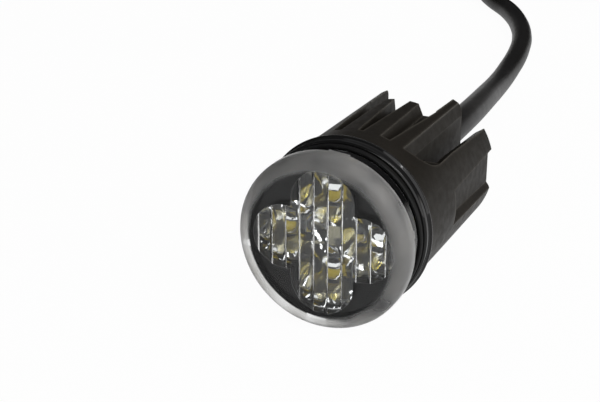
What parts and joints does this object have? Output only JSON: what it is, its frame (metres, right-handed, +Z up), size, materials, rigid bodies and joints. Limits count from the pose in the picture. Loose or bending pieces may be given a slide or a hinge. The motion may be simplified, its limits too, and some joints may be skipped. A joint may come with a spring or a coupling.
{
  "type": "strobe beacon",
  "caption": "Round LED strobe lamp: clear fluted lens over clover-shaped collimators, finned black die-cast housing with side wings, sealed rear cover and a jacketed cable with a coiled length.",
  "frame": {"origin": "on the lamp axis, in the plane of the lens flange's rear face, where the clear neck begins", "axes": "+Y along the lamp axis from the lens to the cable, the light leaves towards -Y; +Z up through the middle of the upper fins; +X towards the right side wing as seen from the front"},
  "size_m": [0.0907, 0.3815, 0.034],
  "materials": {
    "clear_polycarbonate": "clear, moulded, slightly hazy",
    "black_rubber": "satin",
    "black_gloss": "gloss",
    "black_cast": "matt black coating on die-cast aluminium",
    "clear_acrylic": "clear, polished",
    "black_holder": "black moulded plastic",
    "board_mask": "black solder mask on an aluminium core",
    "led_ceramic": "white ceramic",
    "phosphor": "yellow phosphor under clear silicone",
    "steel": "zinc plated",
    "pad_grey": "soft, matt",
    "board_green": "glass-fibre board with green mask",
    "pin_brass": "tinned at the tips",
    "ferrite": "matt",
    "cap_tan": "ceramic",
    "chip_black": "moulded",
    "core_insulation": "coloured insulation",
    "black_steel": "black oxide",
    "cable_jacket": "black jacket, satin",
    "tie_black": "woven strap"
  },
  "bodies": {
    "root": {"lens": "clear_polycarbonate", "lens_gasket": "black_rubber", "trim_ring": "black_gloss", "housing": "black_cast", "collimators": "clear_acrylic", "collimator_holder": "black_holder", "led_board": "board_mask", "led_top": "led_ceramic", "led_left": "led_ceramic", "led_right": "led_ceramic", "led_bottom": "led_ceramic", "phosphor_top": "phosphor", "phosphor_left": "phosphor", "phosphor_right": "phosphor", "phosphor_bottom": "phosphor", "board_screws": "steel", "thermal_pad": "pad_grey", "driver_board": "board_green", "link_pins": "pin_brass", "inductor": "ferrite", "capacitors": "cap_tan", "driver_chip": "chip_black", "control_chip": "chip_black", "resistors": "chip_black", "input_diode": "chip_black", "core_leads": "core_insulation", "cover_seal": "black_rubber", "back_cover": "black_cast", "cover_screws": "black_steel", "cable_gland": "black_rubber", "cord_run": "cable_jacket", "cord_coil": "cable_jacket", "coil_tie": "tie_black", "cord_tails": "core_insulation"}
  },
  "joints": []
}
